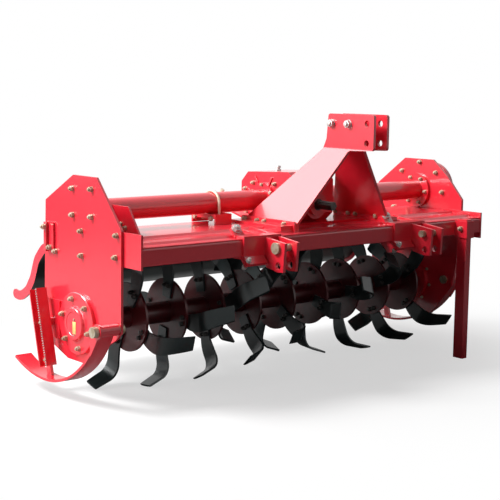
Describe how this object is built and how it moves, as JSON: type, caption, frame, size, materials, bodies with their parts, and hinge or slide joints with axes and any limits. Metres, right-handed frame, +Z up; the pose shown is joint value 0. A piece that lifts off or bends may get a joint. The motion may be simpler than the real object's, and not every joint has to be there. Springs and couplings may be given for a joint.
{
  "type": "rotary tiller",
  "caption": "Side-driven rotary tiller for a three-point hitch: bladed rotor under a hood, gear case, mast, adjustable skids, hinged tail board and parking leg.",
  "frame": {"origin": "on the ground, under the middle of the machine's outer box", "axes": "+Z up, -Y towards the tractor, +X towards the gear case"},
  "size_m": [2.082, 1.085, 1.069],
  "materials": {
    "red_paint": "gloss",
    "rotor_paint": "gloss",
    "blade_paint": "semi-gloss",
    "zinc": "satin",
    "bare_steel": "satin"
  },
  "bodies": {
    "frame": {"side_plate_left": "red_paint", "gear_case_plate": "red_paint", "gear_case_housing": "red_paint", "gear_case_cover": "red_paint", "front_beam": "red_paint", "beam_bracket_left": "red_paint", "beam_bracket_right": "red_paint", "hood": "red_paint", "cross_tube_left": "red_paint", "cross_tube_right": "red_paint", "tube_stands": "red_paint", "u_bolts": "zinc", "gearbox_housing": "red_paint", "mast_plate_left": "red_paint", "mast_plate_right": "red_paint", "mast_base_left": "red_paint", "mast_base_right": "red_paint", "mast_spacers": "zinc", "hitch_lug_left": "red_paint", "hitch_lug_right": "red_paint", "hitch_clamp_left": "red_paint", "hitch_clamp_right": "red_paint", "hitch_pins": "zinc", "rotor_bearing_left": "red_paint", "rotor_bearing_right": "red_paint", "tail_hinge_strap_left": "red_paint", "tail_hinge_strap_right": "red_paint", "hanger_straps": "red_paint", "skid_bolts": "zinc", "skid_clamp_left": "red_paint", "skid_clamp_right": "red_paint", "leg_socket": "red_paint"},
    "rotor": {"rotor_shaft": "rotor_paint", "rotor_discs": "rotor_paint", "blades_left": "blade_paint", "blades_right": "blade_paint"},
    "input_shaft": {"input_shaft": "bare_steel"},
    "tail_board": {"tail_board": "red_paint"},
    "hanger_left": {"hanger_rod_left": "zinc"},
    "hanger_right": {"hanger_rod_right": "zinc"},
    "skid_left": {"skid_left": "red_paint"},
    "skid_right": {"skid_right": "red_paint"},
    "adjuster_left": {"skid_adjuster_left": "red_paint"},
    "adjuster_right": {"skid_adjuster_right": "red_paint"},
    "parking_leg": {"parking_leg": "red_paint"}
  },
  "joints": [
    {"name": "rotor_spin", "type": "hinge", "parent": "frame", "child": "rotor", "pos_m": [0.084, 0.0175, 0.282], "axis": [1, 0, 0], "continuous": true},
    {"name": "input_spin", "type": "hinge", "parent": "frame", "child": "input_shaft", "pos_m": [0.084, -0.2325, 0.694], "axis": [0, -1, 0], "continuous": true},
    {"name": "tail_board_hinge", "type": "hinge", "parent": "frame", "child": "tail_board", "pos_m": [0.084, 0.2135, 0.549], "axis": [1, 0, 0], "range_deg": [0, 30]},
    {"name": "hanger_left_hinge", "type": "hinge", "parent": "tail_board", "child": "hanger_left", "pos_m": [-0.066, 0.36122, 0.52295], "axis": [1, 0, 0], "range_deg": [-16, 1]},
    {"name": "hanger_right_hinge", "type": "hinge", "parent": "tail_board", "child": "hanger_right", "pos_m": [0.234, 0.36122, 0.52295], "axis": [1, 0, 0], "range_deg": [-16, 1]},
    {"name": "skid_left_hinge", "type": "hinge", "parent": "frame", "child": "skid_left", "pos_m": [-0.986, -0.2425, 0.302], "axis": [1, 0, 0], "range_deg": [-10, 5]},
    {"name": "skid_right_hinge", "type": "hinge", "parent": "frame", "child": "skid_right", "pos_m": [0.984, -0.1675, 0.302], "axis": [1, 0, 0], "range_deg": [-10, 5]},
    {"name": "adjuster_left_hinge", "type": "hinge", "parent": "skid_left", "child": "adjuster_left", "pos_m": [-0.986, 0.1675, 0.122], "axis": [1, 0, 0], "range_deg": [-3, 6]},
    {"name": "adjuster_right_hinge", "type": "hinge", "parent": "skid_right", "child": "adjuster_right", "pos_m": [0.984, 0.2425, 0.122], "axis": [1, 0, 0], "range_deg": [-3, 6]},
    {"name": "leg_slide", "type": "slide", "parent": "frame", "child": "parking_leg", "axis": [0, 0, 1], "range_m": [0, 0.25]}
  ],
  "couplings": [
    {"joint": "input_spin", "follows": "rotor_spin", "ratio": 2.4},
    {"joint": "hanger_left_hinge", "follows": "tail_board_hinge", "ratio": -0.5},
    {"joint": "hanger_right_hinge", "follows": "tail_board_hinge", "ratio": -0.5},
    {"joint": "adjuster_left_hinge", "follows": "skid_left_hinge", "ratio": -0.5},
    {"joint": "adjuster_right_hinge", "follows": "skid_right_hinge", "ratio": -0.5}
  ]
}
